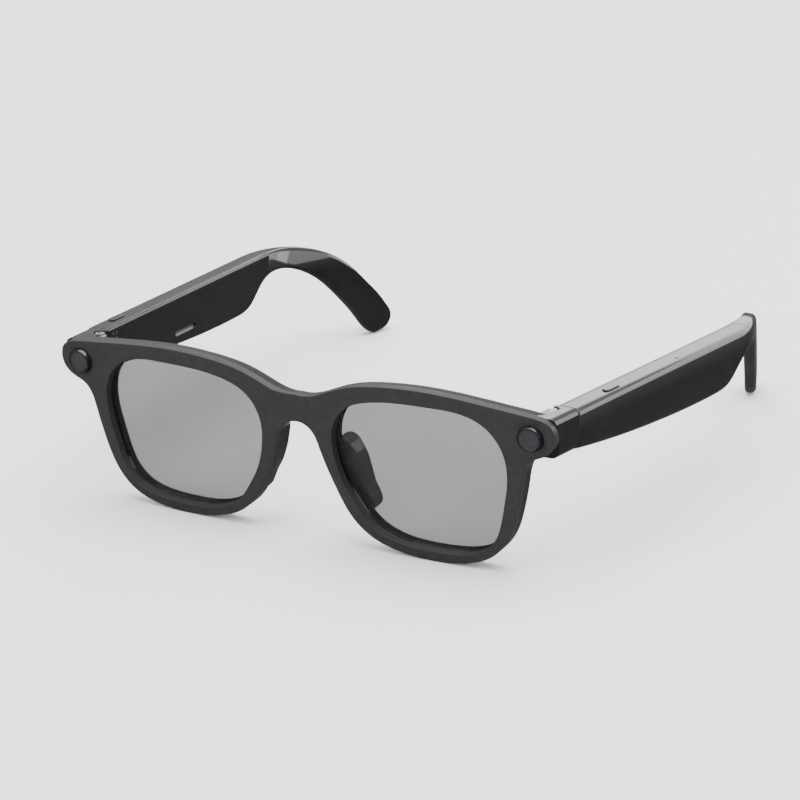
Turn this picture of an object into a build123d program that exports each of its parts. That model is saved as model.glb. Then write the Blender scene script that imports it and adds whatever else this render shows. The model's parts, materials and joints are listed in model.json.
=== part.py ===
"""Camera smart glasses: folding eyewear with electronics in both temple arms.

Row frame: +X is the wearer's left, -Y the way the front faces, +Z up, in millimetres.
The glasses stand on the two rim bottoms and the two ear-tip ends, so the arms slope a little.
Shapes are drawn in the "worn" frame, where the arms are level, and placed by tilted planes.
"""

import os
from math import atan, cos, degrees, radians, sin

from build123d import *

os.makedirs("parts", exist_ok=True)

# ---- placing --------------------------------------------------------------------------------
REST_TILT = 4.91  # degrees the arms slope down to the rear when the glasses stand
REST_Y = -71.05  # row Y of the worn frame's origin, on the front face at the bridge
REST_Z = 29.86  # row Z of the same point
FACE_TILT = 7.915  # degrees the front leans, top forward, against level arms
WRAP = 0.000459  # the front's curve: depth = WRAP * x^2
SPLAY = 3.83  # degrees each arm spreads outward to the rear

# ---- front ----------------------------------------------------------------------------------
BEZEL_THK = 2.0
FRAME_BACK = 5.2  # depth of the rear frame's back behind the bezel's face
RIM_STEP = 0.3  # rear frame is this much smaller all round
RIM_DROP = 0.45  # and sits this much lower
LENS_DEPTH = 3.1
LENS_THK = 1.7
LENS_GROOVE = 1.0
BRIDGE_DIP = 0.9
BRIDGE_R = 20.0
CAM_X = 66.5
CAM_V = 8.07
CAM_R = 3.17
CAM_PROUD = 1.2

# ---- arms -----------------------------------------------------------------------------------
ARM_X = 70.1  # middle of the arm at the seam
ARM_Y = 14.0
ARM_HALF = 3.3  # half of the arm's thickness
ARM_TOP = 13.4
SEAM_S = -0.7  # rear end of the end piece
SEAM_GAP = 0.25
TIP_S = 86.0  # where the ear tip starts
BEND_S = 80.0  # where the arm starts to turn inward
BEND_R = 40.0
BEND_DEG = 26.0
TIP_HALF = 1.9  # half of the ear tip's thickness after the bend
TIP_END_HALF = 1.2  # and far beyond its end
COVER_T = -1.9  # inner cover lies inside of this
WALL = 1.1

# ---- hinge ----------------------------------------------------------------------------------
PIVOT_X = 67.2
PIVOT_Y = 10.4
PIN_R = 0.8
PIN_CLEAR = 0.05
KNUCKLE_R = 1.75
LEAF_Z0 = 7.0
LEAF_Z1 = 10.4
EAR_Z0 = 4.9
EAR_Z1 = 12.6
HINGE_GAP = 0.15
SCREW_R = 0.45
SCREW_HEAD_R = 0.8
PIN_HEAD_R = 1.25
LEAF_MID = 8.7
LEAF_SCREWS = (4.9, 7.9)

# ---- smaller pieces ---------------------------------------------------------------------------
BROW_END = 0.31  # share of the half outline that the brow cable follows
PAD_BACK = 10.4
END_Z0 = 3.0
BUTTON_LEFT_S = 18.2
BUTTON_RIGHT_S = 9.8
BUTTON_T = 0.7
BUTTON_LEN = 6.2
BUTTON_WID = 2.0
BUTTON_PROUD = 0.4
MIC_S = 49.8
MIC_T = 1.2
ANCHOR_S = 86.0
ANCHOR_Z = 10.0
ANCHOR_LEN = 12.0
ANCHOR_H = 2.0
ANCHOR_T0 = -1.6
ANCHOR_THK = 1.2
BATTERY_S = 61.5
BATTERY_Z = 6.4
BATTERY_LEN = 19.0
BATTERY_H = 9.4
SPEAKER_S = 39.0
MESH_Z = 3.1
MESH_LEN = 11.0
MESH_H = 1.3
CONTACT_R = 0.42
CONTACTS = ((1.9, 11.75), (3.6, 11.65), (3.4, 10.4))

TILT_C = cos(radians(REST_TILT))
TILT_S = sin(radians(REST_TILT))


def worn_dir(x, y, z):
    """A direction given in the worn frame, in the row frame."""
    return Vector(x, y * TILT_C + z * TILT_S, z * TILT_C - y * TILT_S)


def worn(x, y, z):
    """A point given in the worn frame, in the row frame."""
    return worn_dir(x, y, z) + Vector(0, REST_Y, REST_Z)


UP = worn_dir(0, 0, 1)
LEVEL = Plane(origin=worn(0, 0, 0), x_dir=(1, 0, 0), z_dir=UP)
FACE_C = cos(radians(FACE_TILT))
FACE_S = sin(radians(FACE_TILT))
FACE_N = worn_dir(0, -FACE_C, -FACE_S)
FACE_UP = worn_dir(0, -FACE_S, FACE_C)
FACE = Plane(origin=worn(0, 0, 0), x_dir=(1, 0, 0), z_dir=FACE_N)
FACE_PLAN = Plane(origin=worn(0, 0, 0), x_dir=(1, 0, 0), z_dir=-FACE_UP)
ALONG = worn_dir(sin(radians(SPLAY)), cos(radians(SPLAY)), 0)
ACROSS = worn_dir(cos(radians(SPLAY)), -sin(radians(SPLAY)), 0)
ARM_O = worn(ARM_X, ARM_Y, 0)


def arm_side(t):
    """Plane of the arm's side view, (along, up), at t outward of the arm's middle."""
    return Plane(origin=ARM_O + ACROSS * t, x_dir=ALONG, z_dir=ACROSS)


def arm_plan(z):
    """Plane of the arm's plan view, (along, across), looking down at height z."""
    return Plane(origin=ARM_O + UP * z, x_dir=ALONG, z_dir=-UP)


def arm_section(s):
    """Plane across the arm at s, (across, up), facing forward."""
    return Plane(origin=ARM_O + ALONG * s, x_dir=ACROSS, z_dir=-ALONG)


def level_at(z):
    """Horizontal plane of the worn frame at height z, (x, y)."""
    return Plane(origin=worn(0, 0, z), x_dir=(1, 0, 0), z_dir=UP)


def pivot_at(z):
    """Plane square to the hinge pin at height z, centred on the pin."""
    return Plane(origin=worn(PIVOT_X, PIVOT_Y, z), x_dir=(1, 0, 0), z_dir=UP)


WRAP_DEG = degrees(atan(2 * WRAP * CAM_X))
CAM_N = FACE_N * cos(radians(WRAP_DEG)) + Vector(1, 0, 0) * sin(radians(WRAP_DEG))
CAM_SIDE = Vector(1, 0, 0) * cos(radians(WRAP_DEG)) - FACE_N * sin(radians(WRAP_DEG))
CAM_O = FACE.origin + Vector(1, 0, 0) * CAM_X + FACE_UP * CAM_V - FACE_N * WRAP * CAM_X**2


def cam_at(depth):
    """Plane on the camera's axis at a depth behind the bezel's face."""
    return Plane(origin=CAM_O - CAM_N * depth, x_dir=CAM_SIDE, z_dir=CAM_N)


# ---- outlines -------------------------------------------------------------------------------
RIM_PTS = [
    (0, 9.5), (5.2, 10.05), (9.6, 11.8), (15.2, 13.95), (24, 15.6), (35, 16.25), (49.5, 15.5),
    (60, 14.35), (68.2, 13.3), (71.7, 11.9), (72.9, 8.9), (72.1, 5.6), (69.8, 3.55),
    (66.6, 2.1), (64.5, -0.3), (63.3, -4.5), (61.2, -13.4), (58, -21.5), (53.3, -26.45),
    (46.5, -29.05), (37.5, -29.9), (28, -29.1), (19.6, -26.2), (14.2, -21.2), (10.9, -15.1),
    (8, -8.1), (6.4, -3.4),
]
ARCH_MID = (4.58, 0.15)
ARCH_TOP = (0, 2.05)
LENS_PTS = [
    (10.4, -2.2), (11.0, 2.5), (12.8, 6.1), (15.9, 8.9), (21.7, 11.0), (30.8, 12.1),
    (40.3, 12.2), (48, 11.7), (53.4, 9.6), (57.4, 5.4), (59.2, 0), (59.2, -5.5),
    (57.7, -13.1), (55.2, -20.9), (51.4, -24.9), (46, -26.8), (38, -27.4), (30.5, -27.1),
    (24, -25.5), (19.9, -23), (16, -18.1), (13, -12.9), (11.2, -7.8),
]
PAD_PTS = [
    (8.2, -4.0), (9.4, -9.0), (11.5, -14.4), (14.3, -19.4), (16.6, -22.3), (17.4, -21.6),
    (16.5, -16.5), (15.0, -10.0), (13.0, -5.0), (10.6, -3.0),
]


def beside(curve, gap, count, closed):
    """Points at a distance to the right of a curve, for a second spline beside it."""
    spots = []
    for k in range(count):
        u = k / count if closed else k / (count - 1)
        along = curve % u
        spots.append((curve @ u) + Vector(along.Y, -along.X) * gap)
    return spots


def rim_face(shrink):
    """Outline of the whole front, made smaller all round by shrink."""
    with BuildSketch() as sketch:
        with BuildLine():
            half = Spline(*RIM_PTS, mode=Mode.PRIVATE)
            arch = ThreePointArc(RIM_PTS[-1], ARCH_MID, ARCH_TOP, mode=Mode.PRIVATE)
            side = Spline((0, RIM_PTS[0][1] - shrink), *beside(half, shrink, 72, False)[1:])
            Spline(side @ 1, *beside(arch, shrink, 9, False)[1:-1], (0, ARCH_TOP[1] + shrink))
            mirror(about=Plane.YZ)
        make_face()
    return sketch.sketch


def lens_face(grow):
    """Outline of one lens opening (wearer's left), grown all round."""
    with BuildSketch() as sketch:
        with BuildLine():
            loop = Spline(*LENS_PTS, periodic=True, mode=Mode.PRIVATE)
            Spline(*beside(loop, -grow, 80, True), periodic=True)
        make_face()
    return sketch.sketch


def brow_strip(near, far):
    """Strip that follows the brow between two distances inside the front's outline."""
    with BuildSketch() as sketch:
        with BuildLine():
            half = Spline(*RIM_PTS, mode=Mode.PRIVATE)
            top = half.trim(0, BROW_END)
            first = Spline((0, RIM_PTS[0][1] - near), *beside(top, near, 14, False)[1:])
            second = Spline((0, RIM_PTS[0][1] - far), *beside(top, far, 14, False)[1:])
            Line(first @ 1, second @ 1)
            mirror(about=Plane.YZ)
        make_face()
    return sketch.sketch


def band_face(near, far):
    """Plan view of a curved layer of the front, from depth near to depth far."""
    half = 84.0
    sag = WRAP * half**2
    with BuildSketch() as sketch:
        with BuildLine():
            ThreePointArc((-half, -sag - near), (0, -near), (half, -sag - near))
            Line((half, -sag - near), (half, -sag - far))
            ThreePointArc((half, -sag - far), (0, -far), (-half, -sag - far))
            Line((-half, -sag - far), (-half, -sag - near))
        make_face()
    return sketch.sketch


RIM = rim_face(0)
RIM_BACK = rim_face(RIM_STEP)
OPENING = lens_face(0)
LENS_EDGE = lens_face(LENS_GROOVE)
LENS_SEAT = lens_face(LENS_GROOVE + 0.1)


def arm_side_face():
    """Side view of a whole arm, (along, up)."""
    with BuildSketch() as sketch:
        with BuildLine():
            top = Line((SEAM_S + SEAM_GAP, ARM_TOP), (80, ARM_TOP))
            crown = Spline(
                top @ 1, (97.5, 12.8), (106.7, 10.1), (115.5, 4.4), (121.6, -2.1), (126.9, -8.6),
                tangents=(top % 1, (0.55, -0.83)),
            )
            tip = Spline(
                crown @ 1, (129.3, -13.6), (127.7, -16.7), (124.6, -17.9), (121.4, -16.8),
                tangents=(crown % 1, (-0.75, 0.66)),
            )
            under = Spline(
                tip @ 1, (118.2, -12.6), (112.0, -4.6), (105.0, 2.4), (97.6, 6.3), (90, 7.4),
                (83, 5.5), (76.5, 0.8), (68, -1.0),
                tangents=(tip % 1, (-1, -0.02)),
            )
            belly = Spline(
                under @ 1, (40, -0.5), (SEAM_S + SEAM_GAP, 3.0),
                tangents=(under % 1, (-0.99, 0.13)),
            )
            Line(belly @ 1, top @ 0)
        make_face()
    return sketch.sketch


def arm_plan_face(half, tip_half, end_half):
    """Plan view of an arm, (along, across), with its inward bend."""
    turn = radians(BEND_DEG)
    end = 62.0
    bend = (BEND_S + BEND_R * sin(turn), -BEND_R * (1 - cos(turn)))
    far = (bend[0] + end * cos(turn), bend[1] - end * sin(turn))
    side = (sin(turn), cos(turn))
    with BuildSketch() as sketch:
        with BuildLine():
            Polyline((-4, -half), (-4, half), (BEND_S, half))
            Spline(
                (BEND_S, half), (bend[0] + side[0] * tip_half, bend[1] + side[1] * tip_half),
                tangents=((1, 0), (cos(turn), -sin(turn))),
            )
            Polyline(
                (bend[0] + side[0] * tip_half, bend[1] + side[1] * tip_half),
                (far[0] + side[0] * end_half, far[1] + side[1] * end_half),
                (far[0] - side[0] * end_half, far[1] - side[1] * end_half),
                (bend[0] - side[0] * tip_half, bend[1] - side[1] * tip_half),
            )
            Spline(
                (bend[0] - side[0] * tip_half, bend[1] - side[1] * tip_half), (BEND_S, -half),
                tangents=((-cos(turn), sin(turn)), (-1, 0)),
            )
            Line((BEND_S, -half), (-4, -half))
        make_face()
    return sketch.sketch


def screw_plane(dx):
    """Plane facing outward at dx from the hinge pin, for the bracket's screw."""
    return Plane(origin=worn(PIVOT_X + dx, PIVOT_Y, LEAF_MID), x_dir=(0, 1, 0), z_dir=(1, 0, 0))


def long_edges(blank, side):
    """Lengthwise edges of the arm blank on its outer (1) or inner (-1) face."""
    picked = ShapeList()
    for edge in blank.edges():
        spot = edge.center() - ARM_O
        s = spot.dot(ALONG)
        middle = -0.458 * max(0.0, s - BEND_S - 8)
        run = abs(((edge @ 1) - (edge @ 0)).dot(ALONG))
        if s > 0.5 and run > 0.5 and (spot.dot(ACROSS) - middle) * side > 1.0:
            picked.append(edge)
    return picked


ARM_SIDE = arm_side_face()
ARM_PLAN = arm_plan_face(ARM_HALF, TIP_HALF, TIP_END_HALF)
with BuildSketch() as cavity_sketch:
    with BuildLine():
        Polyline((1.6, 4.2), (1.6, ARM_TOP - WALL), (76, ARM_TOP - WALL), (76, 3.6))
        Spline((76, 3.6), (69, 0.75), (60, 0.6), (40, 1.15), (20, 2.5), (1.6, 4.2))
    make_face()
CAVITY = cavity_sketch.sketch


def save(part, name):
    """Label a finished piece and write it out."""
    part.label = name
    export_step(part, f"parts/{name}.step")


def mirrored(part):
    """The same piece for the wearer's right side."""
    with BuildPart() as other:
        mirror(part, about=Plane.YZ)
    return other.part


# ---- cutting shapes and blanks shared by several pieces -----------------------------------------
with BuildPart() as cam_hole:
    with BuildSketch(cam_at(4.7)):
        Circle(CAM_R - 0.1)
    extrude(amount=8)
    with BuildSketch(cam_at(5.7)):
        Rectangle(5.9, 5.9)
    extrude(amount=1.0)

with BuildPart() as lens_cut:
    with BuildSketch(FACE):
        add(OPENING)
    extrude(amount=24, both=True)

with BuildPart() as lens_groove:
    with BuildSketch(FACE):
        add(LENS_SEAT)
    extrude(amount=24, both=True)
    with BuildSketch(FACE_PLAN):
        add(band_face(LENS_DEPTH - 0.05, LENS_DEPTH + LENS_THK + 0.05))
    extrude(amount=60, both=True, mode=Mode.INTERSECT)
    add(lens_cut.part)

with BuildPart() as hinge_room:
    with BuildSketch(pivot_at(LEAF_Z0 - HINGE_GAP)):
        with Locations((-3.6, 2.5)):
            Rectangle(12.9, 8.9)
    extrude(amount=LEAF_Z1 - LEAF_Z0 + 2 * HINGE_GAP)
    with BuildSketch(pivot_at(EAR_Z0 - 0.05)):
        Circle(KNUCKLE_R + 0.05)
    extrude(amount=ARM_TOP + 1 - EAR_Z0)
    with BuildSketch(pivot_at(EAR_Z0 - 0.05)):
        with Locations((2.1, 0)):
            Rectangle(4.25, 3.2)
    extrude(amount=EAR_Z1 - EAR_Z0 + 0.1)
    with BuildSketch(screw_plane(2.0)):
        Circle(SCREW_R)
    extrude(amount=3.5)

with BuildPart() as end_block:
    with BuildSketch(arm_section(SEAM_S)):
        with Locations((0, (ARM_TOP + END_Z0) / 2)):
            block = Rectangle(2 * ARM_HALF, ARM_TOP - END_Z0)
        fillet(block.vertices().sort_by(Axis.X)[-2:], 2.2)
        fillet(block.vertices().sort_by(Axis.X)[:2], 0.8)
    extrude(amount=13)
    with BuildSketch(level_at(4.4)):
        with BuildLine():
            Polyline((58, 3.5), (60.5, 6.6), (63.6, 7.8), (66, 8.3), (69.5, 8.3), (69.5, 3.5), (58, 3.5))
        make_face()
    extrude(amount=8.2)
    add(hinge_room.part, mode=Mode.SUBTRACT)
    with BuildSketch(FACE_PLAN):
        add(band_face(-24, BEZEL_THK + 0.02))
    extrude(amount=60, both=True, mode=Mode.SUBTRACT)
    add(lens_groove.part, mode=Mode.SUBTRACT)

with BuildPart() as brow_channel:
    with BuildSketch(FACE):
        add(brow_strip(1.2, 2.8))
    extrude(amount=20, both=True)
    with BuildSketch(FACE_PLAN):
        add(band_face(BEZEL_THK - 0.1, BEZEL_THK + 0.35))
    extrude(amount=60, both=True, mode=Mode.INTERSECT)

with BuildPart() as arm_blank:
    with BuildSketch(arm_side(-26)):
        add(ARM_SIDE)
    extrude(amount=34)
    with BuildSketch(arm_plan(0)):
        add(ARM_PLAN)
    extrude(amount=60, both=True, mode=Mode.INTERSECT)
    fillet(long_edges(arm_blank, 1), 1.6)
    fillet(long_edges(arm_blank, -1), 0.9)

# ---- front bezel --------------------------------------------------------------------------------
with BuildPart() as front_bezel:
    with BuildSketch(FACE.offset(-10)):
        add(RIM)
    extrude(amount=16)
    with BuildSketch(FACE_PLAN):
        add(band_face(0, BEZEL_THK))
    extrude(amount=60, both=True, mode=Mode.INTERSECT)
    with BuildSketch(FACE_PLAN):
        with Locations((0, BRIDGE_R - BRIDGE_DIP)):
            Circle(BRIDGE_R)
    extrude(amount=60, both=True, mode=Mode.SUBTRACT)
    add(lens_cut.part, mode=Mode.SUBTRACT)
    mirror(lens_cut.part, about=Plane.YZ, mode=Mode.SUBTRACT)
    add(cam_hole.part, mode=Mode.SUBTRACT)
    mirror(cam_hole.part, about=Plane.YZ, mode=Mode.SUBTRACT)

# ---- rear frame with both end pieces --------------------------------------------------------------
with BuildPart() as rear_frame:
    with BuildSketch(FACE):
        with Locations((0, -RIM_DROP)):
            add(RIM_BACK)
    extrude(amount=24, both=True)
    with BuildSketch(FACE_PLAN):
        add(band_face(BEZEL_THK, FRAME_BACK))
    extrude(amount=60, both=True, mode=Mode.INTERSECT)
    add(brow_channel.part, mode=Mode.SUBTRACT)
    add(lens_groove.part, mode=Mode.SUBTRACT)
    mirror(lens_groove.part, about=Plane.YZ, mode=Mode.SUBTRACT)
    add(end_block.part)
    mirror(end_block.part, about=Plane.YZ)
    add(cam_hole.part, mode=Mode.SUBTRACT)
    mirror(cam_hole.part, about=Plane.YZ, mode=Mode.SUBTRACT)

# ---- lenses -------------------------------------------------------------------------------------
with BuildPart() as lens_left:
    with BuildSketch(FACE):
        add(LENS_EDGE)
    extrude(amount=24, both=True)
    with BuildSketch(FACE_PLAN):
        add(band_face(LENS_DEPTH, LENS_DEPTH + LENS_THK))
    extrude(amount=60, both=True, mode=Mode.INTERSECT)

# ---- nose pads ----------------------------------------------------------------------------------
with BuildPart() as nose_pad_left:
    with BuildSketch(FACE.offset(-18)):
        with BuildLine():
            Spline(*PAD_PTS, periodic=True)
        make_face()
    extrude(amount=24)
    with BuildSketch(FACE_PLAN):
        add(band_face(FRAME_BACK, PAD_BACK))
    extrude(amount=60, both=True, mode=Mode.INTERSECT)

# ---- camera windows, rings and modules ------------------------------------------------------------
with BuildPart() as camera_window_left:
    with BuildSketch(cam_at(-CAM_PROUD + 0.6)):
        Circle(2.85)
    extrude(amount=0.6)
    chamfer(camera_window_left.edges().sort_by(Axis.Y)[:1], 0.12)

with BuildPart() as camera_ring_left:
    with BuildSketch(cam_at(0)):
        Circle(CAM_R + 0.4)
    with BuildSketch(cam_at(-CAM_PROUD)):
        Circle(CAM_R)
    loft()
    with BuildSketch(cam_at(1.5)):
        Circle(CAM_R - 0.12)
    extrude(amount=1.6)
    with BuildSketch(cam_at(1.6)):
        Circle(1.9)
    extrude(amount=4, mode=Mode.SUBTRACT)
    with BuildSketch(cam_at(-CAM_PROUD + 0.6)):
        Circle(2.85)
    extrude(amount=3, mode=Mode.SUBTRACT)

with BuildPart() as camera_module_left:
    with BuildSketch(cam_at(4.65)):
        Circle(2.6)
    extrude(amount=3.1)
    with BuildSketch(cam_at(1.6)):
        Circle(1.8)
    extrude(amount=2.1)
    with BuildSketch(cam_at(0.0)):
        Circle(1.25)
    extrude(amount=2, mode=Mode.SUBTRACT)
    with BuildSketch(cam_at(5.65)):
        Rectangle(5.7, 5.7)
    extrude(amount=0.95)

# ---- hinge, front half ----------------------------------------------------------------------------
with BuildPart() as hinge_bracket_left:
    for low, high in ((EAR_Z0, LEAF_Z0 - HINGE_GAP), (LEAF_Z1 + HINGE_GAP, EAR_Z1)):
        with BuildSketch(pivot_at(low)):
            Circle(KNUCKLE_R)
            with Locations((2.1, 0)):
                Rectangle(4.2, 3.1)
            Circle(PIN_R, mode=Mode.SUBTRACT)
        extrude(amount=high - low)
    with BuildSketch(pivot_at(EAR_Z0)):
        with Locations((3.55, 0)):
            Rectangle(1.3, 3.1)
    extrude(amount=EAR_Z1 - EAR_Z0)
    with BuildSketch(screw_plane(2.8)):
        Circle(SCREW_R)
    extrude(amount=4, mode=Mode.SUBTRACT)
    with BuildSketch(screw_plane(2.8)):
        Circle(SCREW_HEAD_R)
    extrude(amount=0.55, mode=Mode.SUBTRACT)

with BuildPart() as bracket_screw_left:
    with BuildSketch(screw_plane(2.95)):
        Circle(SCREW_HEAD_R)
        SlotOverall(1.1, 0.25, mode=Mode.SUBTRACT)
    extrude(amount=0.4)
    with BuildSketch(screw_plane(3.2)):
        Circle(SCREW_R)
    extrude(amount=2.2)

with BuildPart() as hinge_pin_left:
    with BuildSketch(pivot_at(EAR_Z0)):
        Circle(PIN_R)
    extrude(amount=EAR_Z1 - EAR_Z0)
    with BuildSketch(pivot_at(EAR_Z1)):
        Circle(PIN_HEAD_R)
    extrude(amount=0.6)
    with BuildSketch(pivot_at(EAR_Z1 + 0.35)):
        Rectangle(4, 0.4, rotation=35)
    extrude(amount=1, mode=Mode.SUBTRACT)

# ---- hinge, arm half ------------------------------------------------------------------------------
with BuildPart() as hinge_leaf_left:
    with BuildSketch(pivot_at(LEAF_Z0)):
        Circle(KNUCKLE_R)
        with BuildLine():
            Polyline(
                (0.1, 1.2), (1.39, 3.4), (2.06, 13.4), (3.26, 13.4), (2.59, 3.2), (1.65, 0.3), (0.1, 1.2)
            )
        make_face()
        Circle(PIN_R + PIN_CLEAR, mode=Mode.SUBTRACT)
    extrude(amount=LEAF_Z1 - LEAF_Z0)
    for s in LEAF_SCREWS:
        with BuildSketch(arm_side(-3)):
            with Locations((s, LEAF_MID)):
                Circle(SCREW_R)
        extrude(amount=4, mode=Mode.SUBTRACT)

with BuildPart() as leaf_screws_left:
    for s in LEAF_SCREWS:
        with BuildSketch(arm_side(-1.85)):
            with Locations((s, LEAF_MID)):
                Circle(SCREW_HEAD_R)
        extrude(amount=0.3)
        with BuildSketch(arm_side(-1.6)):
            with Locations((s, LEAF_MID)):
                Circle(SCREW_R)
        extrude(amount=2.8)


# ---- arm covers, shells and tips --------------------------------------------------------------------
def arm_shell(button_s):
    """Outer half of an arm's housing, open towards the inner cover."""
    with BuildPart() as shell:
        add(arm_blank.part)
        with BuildSketch(arm_plan(0)):
            with Locations(((TIP_S - 6) / 2, (COVER_T + 12) / 2)):
                Rectangle(TIP_S + 6, 12 - COVER_T)
        extrude(amount=60, both=True, mode=Mode.INTERSECT)
        with BuildSketch(arm_side(COVER_T - 1)):
            add(CAVITY)
        extrude(amount=ARM_HALF - WALL - COVER_T + 1, mode=Mode.SUBTRACT)
        for s in LEAF_SCREWS:
            with BuildSketch(arm_side(-0.2)):
                with Locations((s, LEAF_MID)):
                    Circle(1.1)
            extrude(amount=2.6)
            with BuildSketch(arm_side(-0.4)):
                with Locations((s, LEAF_MID)):
                    Circle(SCREW_R)
            extrude(amount=1.65, mode=Mode.SUBTRACT)
        with BuildSketch(arm_side(COVER_T - 1)):
            with Locations((0.5, LEAF_MID)):
                Rectangle(4.2, LEAF_Z1 - LEAF_Z0 + 0.2)
        extrude(amount=2.8, mode=Mode.SUBTRACT)
        with BuildSketch(arm_plan(ARM_TOP + 1)):
            with Locations((button_s, BUTTON_T)):
                SlotOverall(BUTTON_LEN + 0.3, BUTTON_WID + 0.3)
        extrude(amount=2.6, mode=Mode.SUBTRACT)
        with BuildSketch(arm_plan(ARM_TOP + 1)):
            with Locations((MIC_S, MIC_T)):
                Circle(0.45)
        extrude(amount=2.6, mode=Mode.SUBTRACT)
        with BuildSketch(arm_side(ANCHOR_T0)):
            with Locations((ANCHOR_S, ANCHOR_Z)):
                Rectangle(ANCHOR_LEN, ANCHOR_H)
        extrude(amount=ANCHOR_THK, mode=Mode.SUBTRACT)
    return shell.part


def arm_button(button_s):
    """Push button with the flange that keeps it in its slot."""
    with BuildPart() as button:
        with BuildSketch(arm_plan(ARM_TOP + BUTTON_PROUD)):
            with Locations((button_s, BUTTON_T)):
                SlotOverall(BUTTON_LEN, BUTTON_WID)
        extrude(amount=ARM_TOP + BUTTON_PROUD - 11.6)
        with BuildSketch(arm_plan(12.1)):
            with Locations((button_s, BUTTON_T)):
                SlotOverall(BUTTON_LEN + 0.9, BUTTON_WID + 0.6)
        extrude(amount=0.6)
        fillet(button.faces().sort_by(Axis.Z)[-1].edges(), 0.3)
    return button.part


def tact_switch(button_s):
    """Switch body and plunger under the button."""
    with BuildPart() as switch:
        with BuildSketch(arm_plan(10.9)):
            with Locations((button_s, BUTTON_T + 0.1)):
                Rectangle(3.0, 1.9)
        extrude(amount=1.0)
        with BuildSketch(arm_plan(11.15)):
            with Locations((button_s, BUTTON_T + 0.1)):
                Circle(0.6)
        extrude(amount=0.6)
    return switch.part


def arm_cover(contact_points):
    """Inner half of an arm's housing, with the speaker's slot and any contact holes."""
    with BuildPart() as cover:
        add(arm_blank.part)
        with BuildSketch(arm_plan(0)):
            with Locations(((TIP_S - 6) / 2, (COVER_T - 24) / 2)):
                Rectangle(TIP_S + 6, 24 + COVER_T)
        extrude(amount=60, both=True, mode=Mode.INTERSECT)
        with BuildSketch(arm_side(-6)):
            with Locations((0.5, LEAF_MID)):
                Rectangle(4.2, LEAF_Z1 - LEAF_Z0 + 0.2)
            with Locations((SPEAKER_S, MESH_Z)):
                SlotOverall(MESH_LEN, MESH_H)
            for s, z in contact_points:
                with Locations((s, z)):
                    Circle(CONTACT_R)
        extrude(amount=6, mode=Mode.SUBTRACT)
    return cover.part


with BuildPart() as ear_tip_left:
    add(arm_blank.part)
    with BuildSketch(arm_plan(0)):
        with Locations((TIP_S + 0.05 + 30, 0)):
            Rectangle(60, 60)
    extrude(amount=60, both=True, mode=Mode.INTERSECT)
    with BuildSketch(arm_side(ANCHOR_T0)):
        with Locations((ANCHOR_S, ANCHOR_Z)):
            Rectangle(ANCHOR_LEN, ANCHOR_H)
    extrude(amount=ANCHOR_THK, mode=Mode.SUBTRACT)

with BuildPart() as tip_anchor_left:
    with BuildSketch(arm_side(ANCHOR_T0)):
        with Locations((ANCHOR_S, ANCHOR_Z)):
            RectangleRounded(ANCHOR_LEN, ANCHOR_H, 0.4)
    extrude(amount=ANCHOR_THK)

# ---- inside the arms --------------------------------------------------------------------------------
with BuildPart() as battery_left:
    with BuildSketch(arm_side(-1.7)):
        with Locations((BATTERY_S, BATTERY_Z)):
            RectangleRounded(BATTERY_LEN, BATTERY_H, 1.0)
    extrude(amount=3.4)

with BuildPart() as circuit_board_left:
    with BuildSketch(arm_side(0.9)):
        with Locations((20.5, 6.6)):
            RectangleRounded(17.5, 4.6, 0.4)
    extrude(amount=0.7)
    with BuildSketch(arm_side(-0.3)):
        with Locations((16.0, 6.6)):
            Rectangle(4.2, 3.6)
        with Locations((22.5, 6.6)):
            Rectangle(5.6, 3.8)
        with Locations((27.2, 7.4), (27.2, 5.6)):
            Rectangle(1.6, 1.0)
    extrude(amount=1.2)

with BuildPart() as speaker_left:
    with BuildSketch(arm_side(-1.7)):
        with Locations((SPEAKER_S, 5.1)):
            RectangleRounded(15, 6.2, 1.6)
    extrude(amount=3.2)
    with BuildSketch(arm_side(-1.7)):
        with Locations((SPEAKER_S, 5.1)):
            RectangleRounded(12.4, 4.2, 1.2)
    extrude(amount=0.4, mode=Mode.SUBTRACT)

with BuildPart() as speaker_mesh_left:
    with BuildSketch(arm_side(-2.75)):
        with Locations((SPEAKER_S, MESH_Z)):
            SlotOverall(MESH_LEN, MESH_H)
            with GridLocations(1.1, 0.9, 9, 1):
                Circle(0.22, mode=Mode.SUBTRACT)
    extrude(amount=0.45)

with BuildPart() as microphone_left:
    with BuildSketch(arm_plan(12.25)):
        with Locations((MIC_S, MIC_T - 0.6)):
            Rectangle(2.8, 1.9)
        with Locations((MIC_S, MIC_T)):
            Circle(0.3, mode=Mode.SUBTRACT)
    extrude(amount=0.9)

with BuildPart() as arm_flex_left:
    with BuildSketch(arm_side(1.85)):
        with Locations((35, 9.9)):
            Rectangle(38, 1.6)
    extrude(amount=0.15)

with BuildPart() as charge_contacts:
    for s, z in CONTACTS:
        with BuildSketch(arm_side(-ARM_HALF + 0.1)):
            with Locations((s, z)):
                Circle(CONTACT_R)
        extrude(amount=1.2)

# ---- flex cable of the front ------------------------------------------------------------------------
with BuildPart() as front_flex_cable:
    with BuildSketch(FACE):
        add(brow_strip(1.3, 2.7))
    extrude(amount=20, both=True)
    with BuildSketch(FACE_PLAN):
        add(band_face(BEZEL_THK + 0.05, BEZEL_THK + 0.3))
    extrude(amount=60, both=True, mode=Mode.INTERSECT)


# ---- write every piece ------------------------------------------------------------------------------
save(front_bezel.part, "front_bezel")
save(rear_frame.part, "rear_frame")
save(front_flex_cable.part, "front_flex_cable")

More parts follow.
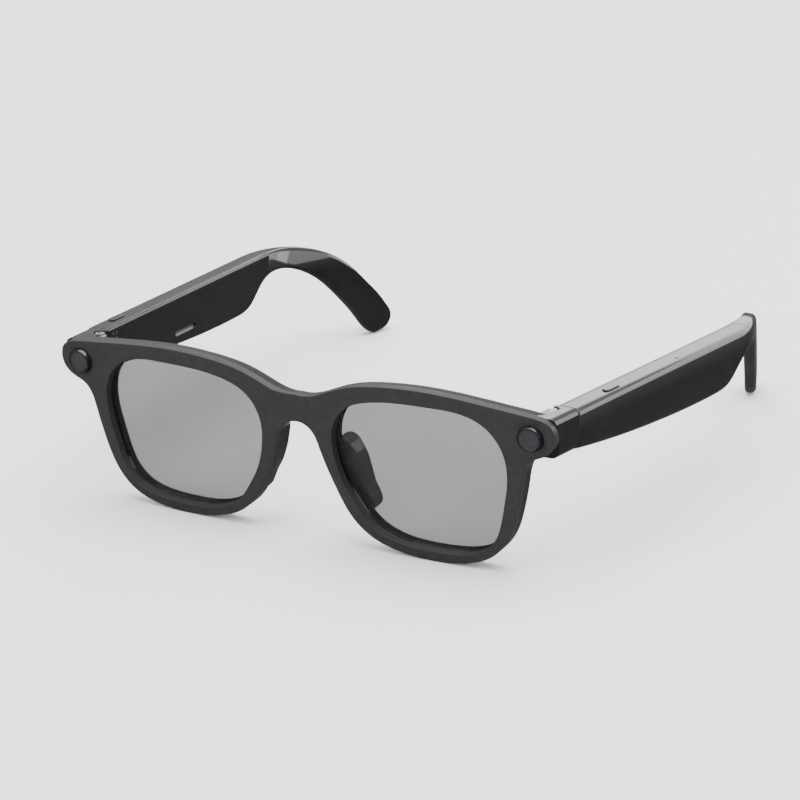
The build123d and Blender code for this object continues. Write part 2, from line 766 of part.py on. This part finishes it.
BOTH_SIDES = {
    "lens": lens_left.part,
    "nose_pad": nose_pad_left.part,
    "camera_window": camera_window_left.part,
    "camera_ring": camera_ring_left.part,
    "camera_module": camera_module_left.part,
    "hinge_bracket": hinge_bracket_left.part,
    "bracket_screw": bracket_screw_left.part,
    "hinge_pin": hinge_pin_left.part,
    "hinge_leaf": hinge_leaf_left.part,
    "leaf_screws": leaf_screws_left.part,
    "ear_tip": ear_tip_left.part,
    "tip_anchor": tip_anchor_left.part,
    "battery": battery_left.part,
    "circuit_board": circuit_board_left.part,
    "speaker": speaker_left.part,
    "speaker_mesh": speaker_mesh_left.part,
    "microphone": microphone_left.part,
    "arm_flex": arm_flex_left.part,
}
for name, part in BOTH_SIDES.items():
    save(part, f"{name}_left")
    save(mirrored(part), f"{name}_right")

save(arm_shell(BUTTON_LEFT_S), "arm_shell_left")
save(mirrored(arm_shell(BUTTON_RIGHT_S)), "arm_shell_right")
save(arm_button(BUTTON_LEFT_S), "button_left")
save(mirrored(arm_button(BUTTON_RIGHT_S)), "button_right")
save(tact_switch(BUTTON_LEFT_S), "tact_switch_left")
save(mirrored(tact_switch(BUTTON_RIGHT_S)), "tact_switch_right")
save(arm_cover(()), "arm_cover_left")
save(mirrored(arm_cover(CONTACTS)), "arm_cover_right")
save(mirrored(charge_contacts.part), "charge_contacts")
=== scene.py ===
"""Looks of the camera smart glasses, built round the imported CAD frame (metres, +Z up)."""

import json
import math

import bmesh
import bpy
from mathutils import Matrix, Vector


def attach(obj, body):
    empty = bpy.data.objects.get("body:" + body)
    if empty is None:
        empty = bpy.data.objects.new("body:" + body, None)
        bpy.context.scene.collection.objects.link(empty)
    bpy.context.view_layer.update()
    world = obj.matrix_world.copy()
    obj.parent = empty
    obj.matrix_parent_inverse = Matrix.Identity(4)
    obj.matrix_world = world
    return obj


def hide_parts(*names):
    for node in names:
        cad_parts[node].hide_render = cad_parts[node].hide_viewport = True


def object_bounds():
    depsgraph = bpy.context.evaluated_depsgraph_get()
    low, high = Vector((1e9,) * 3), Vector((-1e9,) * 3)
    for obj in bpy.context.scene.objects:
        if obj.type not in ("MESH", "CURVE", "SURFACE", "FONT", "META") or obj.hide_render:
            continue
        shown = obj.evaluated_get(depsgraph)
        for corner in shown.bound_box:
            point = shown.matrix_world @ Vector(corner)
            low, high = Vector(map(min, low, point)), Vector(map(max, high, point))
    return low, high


MM = 0.001
SIDES = (("left", 1), ("right", -1))

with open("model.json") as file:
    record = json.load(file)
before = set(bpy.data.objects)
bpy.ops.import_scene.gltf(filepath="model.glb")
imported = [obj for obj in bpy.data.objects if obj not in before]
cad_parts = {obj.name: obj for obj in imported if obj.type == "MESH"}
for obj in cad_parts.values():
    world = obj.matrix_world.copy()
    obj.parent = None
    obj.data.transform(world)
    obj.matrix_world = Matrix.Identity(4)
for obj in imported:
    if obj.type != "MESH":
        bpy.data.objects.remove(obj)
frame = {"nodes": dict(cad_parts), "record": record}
nodes = frame["nodes"]
cad_low, cad_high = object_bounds()

# ---- the worn frame, in which the arms are level ------------------------------------------------
REST_TILT = math.radians(4.91)
REST_SHIFT = Vector((0, -71.05, 29.86)) * MM
FACE_TILT = math.radians(7.915)
WRAP = 0.000459  # the front's curve: depth = WRAP * x^2
CAM_X = 66.5
CAM_V = 8.07


def worn_dir(v):
    """A direction of the worn frame, in the row frame."""
    c, s = math.cos(REST_TILT), math.sin(REST_TILT)
    return Vector((v[0], v[1] * c + v[2] * s, v[2] * c - v[1] * s))


def worn(v):
    """A point of the worn frame in millimetres, in the row frame in metres."""
    return worn_dir(Vector(v) * MM) + REST_SHIFT


UP = worn_dir((0, 0, 1))
FACE_N = worn_dir((0, -math.cos(FACE_TILT), -math.sin(FACE_TILT)))
FACE_UP = worn_dir((0, -math.sin(FACE_TILT), math.cos(FACE_TILT)))

# Where the arms' sides are crowned: a level line, how far its effect reaches, and the lean there.
CROWN_LINE = worn((70, 40, 2.0))
CROWN_REACH = 10 * MM
CROWN_LEAN = 0.40


# ---- material tools -----------------------------------------------------------------------------
class Tree:
    """A material's node tree, with short calls to add and join nodes."""

    def __init__(self, name):
        self.mat = bpy.data.materials.new(name)
        self.mat.use_nodes = True
        self.nodes = self.mat.node_tree.nodes
        self.links = self.mat.node_tree.links
        self.nodes.clear()
        output = self.nodes.new("ShaderNodeOutputMaterial")
        self.bsdf = self.nodes.new("ShaderNodeBsdfPrincipled")
        self.links.new(self.bsdf.outputs[0], output.inputs[0])
        self.place = self.nodes.new("ShaderNodeTexCoord").outputs["Object"]

    def noise(self, size, detail=3.0, rough=0.5, stretch=(1, 1, 1)):
        """Noise whose features are about size millimetres across."""
        mapping = self.nodes.new("ShaderNodeMapping")
        mapping.inputs["Scale"].default_value = stretch
        self.links.new(self.place, mapping.inputs["Vector"])
        node = self.nodes.new("ShaderNodeTexNoise")
        node.inputs["Scale"].default_value = 1 / (size * MM)
        node.inputs["Detail"].default_value = detail
        node.inputs["Roughness"].default_value = rough
        self.links.new(mapping.outputs[0], node.inputs["Vector"])
        return node.outputs["Fac"]

    def ramp(self, value, low, high, start=0.3, end=0.7):
        """Maps a value's start-end stretch to low-high."""
        node = self.nodes.new("ShaderNodeMapRange")
        node.inputs["From Min"].default_value = start
        node.inputs["From Max"].default_value = end
        node.inputs["To Min"].default_value = low
        node.inputs["To Max"].default_value = high
        self.links.new(value, node.inputs["Value"])
        return node.outputs[0]

    def mix(self, factor, first, second):
        """Mixes two colours by a factor socket."""
        node = self.nodes.new("ShaderNodeMix")
        node.data_type = "RGBA"
        node.inputs["A"].default_value = (*first, 1)
        node.inputs["B"].default_value = (*second, 1)
        self.links.new(factor, node.inputs["Factor"])
        return node.outputs["Result"]

    def mottle(self, size, detail, dark, light):
        """A colour that wanders between dark and light over patches of that size."""
        return self.mix(self.ramp(self.noise(size, detail), 0, 1), dark, light)

    def vector_math(self, operation):
        """A vector maths node."""
        node = self.nodes.new("ShaderNodeVectorMath")
        node.operation = operation
        return node

    def edge(self, radius):
        """Normal with the edges rounded by radius millimetres."""
        node = self.nodes.new("ShaderNodeBevel")
        node.samples = 6
        node.inputs["Radius"].default_value = radius * MM
        return node.outputs[0]

    def crown(self, normal):
        """Normal of a side crowned about the crown line, so that reflections roll over it."""
        height = self.vector_math("DOT_PRODUCT")
        height.inputs[1].default_value = UP
        self.links.new(self.place, height.inputs[0])
        above_line = self.nodes.new("ShaderNodeMath")
        above_line.operation = "SUBTRACT"
        above_line.inputs[1].default_value = CROWN_LINE.dot(UP)
        self.links.new(height.outputs["Value"], above_line.inputs[0])
        lean = self.ramp(above_line.outputs[0], -CROWN_LEAN, CROWN_LEAN, -CROWN_REACH, CROWN_REACH)
        tilt = self.vector_math("SCALE")
        tilt.inputs[0].default_value = UP
        self.links.new(lean, tilt.inputs["Scale"])
        add = self.vector_math("ADD")
        self.links.new(normal, add.inputs[0])
        self.links.new(tilt.outputs[0], add.inputs[1])
        unit = self.vector_math("NORMALIZE")
        self.links.new(add.outputs[0], unit.inputs[0])
        return unit.outputs[0]

    def bump(self, height, depth, normal):
        """Bump of depth millimetres on top of a normal."""
        node = self.nodes.new("ShaderNodeBump")
        node.inputs["Strength"].default_value = 1.0
        node.inputs["Distance"].default_value = depth * MM
        self.links.new(height, node.inputs["Height"])
        self.links.new(normal, node.inputs["Normal"])
        return node.outputs[0]

    def put(self, socket, value):
        """Sets or links one input of the shader."""
        slot = self.bsdf.inputs[socket]
        if isinstance(value, (int, float)):
            slot.default_value = value
        elif isinstance(value, tuple):
            slot.default_value = (*value, 1)
        else:
            self.links.new(value, slot)


def moulded(name, dark, light, rough, grain, depth, edge, specular=0.5, crowned=False):
    """Moulded plastic: mottled colour, uneven gloss, fine grain and rounded edges."""
    t = Tree(name)
    t.put("Base Color", t.mottle(grain * 9, 4, dark, light))
    t.put("Roughness", t.ramp(t.noise(grain * 30, 2), *rough))
    normal = t.crown(t.edge(edge)) if crowned else t.edge(edge)
    t.put("Normal", t.bump(t.noise(grain, 2), depth, normal))
    t.put("Specular IOR Level", specular)
    return t.mat


def metal(name, dark, light, rough, stretch):
    """Turned or brushed metal with fine drawn lines."""
    t = Tree(name)
    lines = t.noise(0.12, 3, 0.6, stretch)
    t.put("Base Color", t.mix(t.ramp(lines, 0, 1), dark, light))
    t.put("Metallic", 1.0)
    t.put("Roughness", t.ramp(lines, *rough))
    t.put("Normal", t.bump(lines, 0.004, t.edge(0.08)))
    return t.mat


def see_through(name, dark, light, alpha, rough):
    """Tinted clear plastic or glass: each face lets about 1 - alpha of the light through."""
    t = Tree(name)
    t.put("Base Color", t.mottle(14, 2, dark, light))
    t.put("Roughness", t.ramp(t.noise(5, 2), *rough))
    t.put("Alpha", t.ramp(t.noise(40, 1), alpha - 0.008, alpha + 0.008))
    t.put("Normal", t.edge(0.12))
    return t.mat


def coated_lens():
    """Purple-coated front lens of a camera."""
    t = Tree("coated_lens")
    t.put("Base Color", t.mottle(1.2, 2, (0.020, 0.010, 0.035), (0.045, 0.018, 0.075)))
    t.put("Roughness", t.ramp(t.noise(2, 2), 0.02, 0.06))
    t.put("Coat Weight", 1.0)
    t.put("Coat Tint", (0.75, 0.6, 1.0))
    return t.mat


# ---- the materials: colours, roughness range, then grain, depth and edge in millimetres ----------
DEEP_BLACK = {"dark": (0.005, 0.005, 0.006), "light": (0.008, 0.008, 0.009)}
MOULDED = {
    "matte_grey": {
        "dark": (0.022, 0.022, 0.023), "light": (0.028, 0.028, 0.029), "rough": (0.36, 0.46),
        "grain": 0.16, "depth": 0.010, "edge": 0.28, "specular": 0.36,
    },
    "gloss_black": {
        **DEEP_BLACK, "rough": (0.06, 0.11),
        "grain": 0.6, "depth": 0.002, "edge": 0.30, "specular": 0.6,
    },
    "arm_gloss": {
        **DEEP_BLACK, "rough": (0.05, 0.09),
        "grain": 0.6, "depth": 0.002, "edge": 0.30, "specular": 0.7, "crowned": True,
    },
    "satin_black": {
        "dark": (0.007, 0.007, 0.008), "light": (0.010, 0.010, 0.011), "rough": (0.14, 0.22),
        "grain": 0.2, "depth": 0.003, "edge": 0.25,
    },
    "matte_black": {
        "dark": (0.014, 0.014, 0.015), "light": (0.02, 0.02, 0.021), "rough": (0.5, 0.6),
        "grain": 0.15, "depth": 0.010, "edge": 0.1,
    },
    "flex": {
        "dark": (0.24, 0.11, 0.02), "light": (0.34, 0.17, 0.04), "rough": (0.3, 0.4),
        "grain": 0.3, "depth": 0.004, "edge": 0.02,
    },
    "cell": {
        "dark": (0.22, 0.23, 0.25), "light": (0.32, 0.33, 0.35), "rough": (0.3, 0.42),
        "grain": 1.2, "depth": 0.02, "edge": 0.3,
    },
    "board": {
        "dark": (0.01, 0.06, 0.03), "light": (0.02, 0.11, 0.05), "rough": (0.35, 0.5),
        "grain": 0.4, "depth": 0.01, "edge": 0.05,
    },
}
CLEAR = {
    "tinted_lens": ((0.028, 0.028, 0.030), (0.034, 0.034, 0.036), 0.585, (0.01, 0.03)),
    "dark_glass": ((0.036, 0.035, 0.039), (0.044, 0.042, 0.048), 0.72, (0.12, 0.18)),
}
METALS = {
    "steel": ((0.42, 0.42, 0.43), (0.62, 0.62, 0.63), (0.24, 0.36), (1, 1, 9)),
    "gold": ((0.62, 0.45, 0.18), (0.84, 0.66, 0.32), (0.16, 0.26), (1, 1, 5)),
}
# The frame brings materials of the same names, so these are looked up here and not in Blender.
MATERIALS = {name: moulded(name, **look) for name, look in MOULDED.items()}
MATERIALS.update({name: see_through(name, *look) for name, look in CLEAR.items()})
MATERIALS.update({name: metal(name, *look) for name, look in METALS.items()})
MATERIALS["coated_lens"] = coated_lens()

SLOT_OF = {part["node"]: part["material_slot"] for part in frame["record"]["subparts"]}
CROWNED_NODES = ("arm_shell", "ear_tip")


def paint(obj, name):
    """Gives an object one material."""
    obj.data.materials.clear()
    obj.data.materials.append(MATERIALS[name])


for node_name, node in nodes.items():
    paint(node, "arm_gloss" if node_name.startswith(CROWNED_NODES) else SLOT_OF[node_name])


# ---- pieces built here --------------------------------------------------------------------------
def piece(name, mesh, body, material):
    """Links a new piece, paints it and lets it ride on a body."""
    obj = bpy.data.objects.new(name, mesh)
    bpy.context.scene.collection.objects.link(obj)
    paint(obj, material)
    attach(obj, body)
    return obj


PAD_WELD = 0.004
PAD_VOXEL = 0.28
PAD_SMOOTHING, PAD_ROUNDS = 0.5, 14


def soft_nose_pad(side):
    """A nose pad with its edges melted round, in place of the CAD's flat-sided one."""
    mesh = nodes[f"nose_pad_{side}"].data.copy()
    pad = piece(f"soft_nose_pad_{side}", mesh, "front", "gloss_black")
    weld = pad.modifiers.new("weld", "WELD")
    weld.merge_threshold = PAD_WELD * MM
    remesh = pad.modifiers.new("remesh", "REMESH")
    remesh.mode = "VOXEL"
    remesh.voxel_size = PAD_VOXEL * MM
    remesh.use_smooth_shade = True
    soften = pad.modifiers.new("soften", "SMOOTH")
    soften.factor = PAD_SMOOTHING
    soften.iterations = PAD_ROUNDS
    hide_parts(f"nose_pad_{side}")


def ring_of_verts(bm, radius, height, segments):
    """A circle of vertices about Z, or the single one at its middle if the radius is 0."""
    if radius == 0:
        return [bm.verts.new((0, 0, height * MM))]
    angles = [2 * math.pi * k / segments for k in range(segments)]
    return [
        bm.verts.new((radius * MM * math.cos(a), radius * MM * math.sin(a), height * MM))
        for a in angles
    ]


def turned(profile, segments=64):
    """A turned shape about +Z from (radius, height) pairs in millimetres."""
    bm = bmesh.new()
    rings = [ring_of_verts(bm, radius, height, segments) for radius, height in profile]
    for low, high in zip(rings, rings[1:]):
        for k in range(segments):
            n = (k + 1) % segments
            if len(high) == 1:
                bm.faces.new((low[k], low[n], high[0]))
            else:
                bm.faces.new((low[k], low[n], high[n], high[k]))
    bmesh.ops.recalc_face_normals(bm, faces=bm.faces)
    mesh = bpy.data.meshes.new("turned")
    bm.to_mesh(mesh)
    bm.free()
    mesh.polygons.foreach_set("use_smooth", [True] * len(mesh.polygons))
    return mesh


def camera_frame(sign, depth):
    """Matrix on a camera's axis, depth millimetres behind the bezel's face, +Z out of it."""
    angle = math.atan(2 * WRAP * CAM_X)
    axis = FACE_N * math.cos(angle) + Vector((sign * math.sin(angle), 0, 0))
    spot = worn((0, 0, 0)) + Vector((sign * CAM_X * MM, 0, 0)) + FACE_UP * CAM_V * MM
    spot -= FACE_N * WRAP * CAM_X**2 * MM
    side = axis.cross(FACE_UP).normalized()
    turn = Matrix((side, axis.cross(side), axis)).transposed().to_4x4()
    return Matrix.Translation(spot) @ turn @ Matrix.Translation((0, 0, -depth * MM))


BARREL = (
    (1.85, 0.0), (1.85, 0.42), (1.72, 0.5), (1.5, 0.5), (1.42, 0.38),
    (1.42, 0.2), (1.2, 0.2), (1.12, 0.1), (1.12, 0.0),
)
BARREL_DEPTH = 0.55
DOME = ((1.1, 0.0), (1.08, 0.12), (0.9, 0.24), (0.62, 0.33), (0.3, 0.38), (0, 0.39))
DOME_DEPTH = 0.5


def camera_optics(side, sign):
    """The barrel and front lens behind a camera's window."""
    barrel = turned(BARREL)
    barrel.transform(camera_frame(sign, BARREL_DEPTH))
    piece(f"camera_barrel_{side}", barrel, "front", "matte_black")
    dome = turned(DOME)
    dome.transform(camera_frame(sign, DOME_DEPTH))
    piece(f"camera_front_lens_{side}", dome, "front", "coated_lens")


for side, _ in SIDES:
    soft_nose_pad(side)
for side, sign in SIDES:
    camera_optics(side, sign)

# ---- floor --------------------------------------------------------------------------------------
FLOOR_HALF = 6.0
FLOOR_GAP = 0.0002


def lay_floor():
    """A plain pale floor just under the glasses, which stays out of their reflections."""
    bm = bmesh.new()
    bmesh.ops.create_grid(bm, x_segments=2, y_segments=2, size=FLOOR_HALF)
    mesh = bpy.data.meshes.new("floor")
    bm.to_mesh(mesh)
    bm.free()
    t = Tree("floor_paint")
    t.put("Base Color", t.mix(t.noise(400, 2), (0.90, 0.90, 0.90), (0.92, 0.92, 0.92)))
    t.put("Roughness", 0.9)
    t.put("Specular IOR Level", 0.1)
    mesh.materials.append(t.mat)
    floor = bpy.data.objects.new("floor", mesh)
    floor.location.z = min(0.0, cad_low.z) - FLOOR_GAP
    bpy.context.scene.collection.objects.link(floor)
    floor.visible_glossy = False


lay_floor()


# ---- light: the cards behind the glasses are what the gloss black reflects -----------------------
def softbox(name, spot, target, width, height, power):
    """A rectangular area light aimed at a target."""
    data = bpy.data.lights.new(name, "AREA")
    data.shape = "RECTANGLE"
    data.size = width
    data.size_y = height
    data.energy = power
    obj = bpy.data.objects.new(name, data)
    obj.location = spot
    obj.rotation_mode = "QUATERNION"
    obj.rotation_quaternion = (Vector(target) - Vector(spot)).to_track_quat("-Z", "Y")
    bpy.context.scene.collection.objects.link(obj)


HEART = (0, 0, 0.02)
CARD_AIM = (0, 0, 0.03)
softbox("overhead", (0.1, 0.1, 1.5), HEART, 1.6, 1.6, 48)
softbox("front_left", (-0.9, -1.3, 0.9), HEART, 0.9, 0.9, 12)
softbox("back_card", (0.35, 1.45, 0.50), CARD_AIM, 3.2, 0.62, 18)
softbox("right_card", (1.35, 0.75, 0.48), CARD_AIM, 1.2, 0.60, 5)

SKY_STRENGTH = 1.1
SKY_DARK, SKY_BRIGHT = 0.16, 1.0
SKY_DARK_Z, SKY_BRIGHT_Z = -0.12, 0.5


def light_sky():
    """A white sky that darkens towards and below the horizon."""
    world = bpy.data.worlds.new("studio")
    world.use_nodes = True
    tree, links = world.node_tree.nodes, world.node_tree.links
    tree.clear()
    output = tree.new("ShaderNodeOutputWorld")
    background = tree.new("ShaderNodeBackground")
    background.inputs["Strength"].default_value = SKY_STRENGTH
    direction = tree.new("ShaderNodeTexCoord")
    split = tree.new("ShaderNodeSeparateXYZ")
    shade = tree.new("ShaderNodeMapRange")
    shade.inputs["From Min"].default_value = SKY_DARK_Z
    shade.inputs["From Max"].default_value = SKY_BRIGHT_Z
    shade.inputs["To Min"].default_value = SKY_DARK
    shade.inputs["To Max"].default_value = SKY_BRIGHT
    links.new(direction.outputs["Generated"], split.inputs[0])
    links.new(split.outputs["Z"], shade.inputs["Value"])
    links.new(shade.outputs[0], background.inputs["Color"])
    links.new(background.outputs[0], output.inputs[0])
    bpy.context.scene.world = world


light_sky()

# ---- camera, in the worn frame ------------------------------------------------------------------
AZIMUTH = math.radians(30.771)
ELEVATION = math.radians(17.385)
ROLL = math.radians(-0.362)
DISTANCE = 794.1
TARGET = Vector((30.535, 0, 12.704))
LENS = 145.76
SENSOR = 36
CLIP_START = 0.01


def place_camera():
    """The camera at the photograph's viewing angle."""
    right = Vector((math.cos(AZIMUTH), math.sin(AZIMUTH), 0))
    back = Vector((
        math.sin(AZIMUTH) * math.cos(ELEVATION),
        -math.cos(AZIMUTH) * math.cos(ELEVATION),
        math.sin(ELEVATION),
    ))
    above = back.cross(right)
    x_axis = worn_dir(right * math.cos(ROLL) + above * math.sin(ROLL))
    y_axis = worn_dir(above * math.cos(ROLL) - right * math.sin(ROLL))
    data = bpy.data.cameras.new("camera")
    data.lens = LENS
    data.sensor_width = SENSOR
    data.clip_start = CLIP_START
    camera = bpy.data.objects.new("camera", data)
    bpy.context.scene.collection.objects.link(camera)
    turn = Matrix((x_axis, y_axis, worn_dir(back))).transposed().to_4x4()
    camera.matrix_world = Matrix.Translation(worn(TARGET + back * DISTANCE)) @ turn
    bpy.context.scene.camera = camera


place_camera()
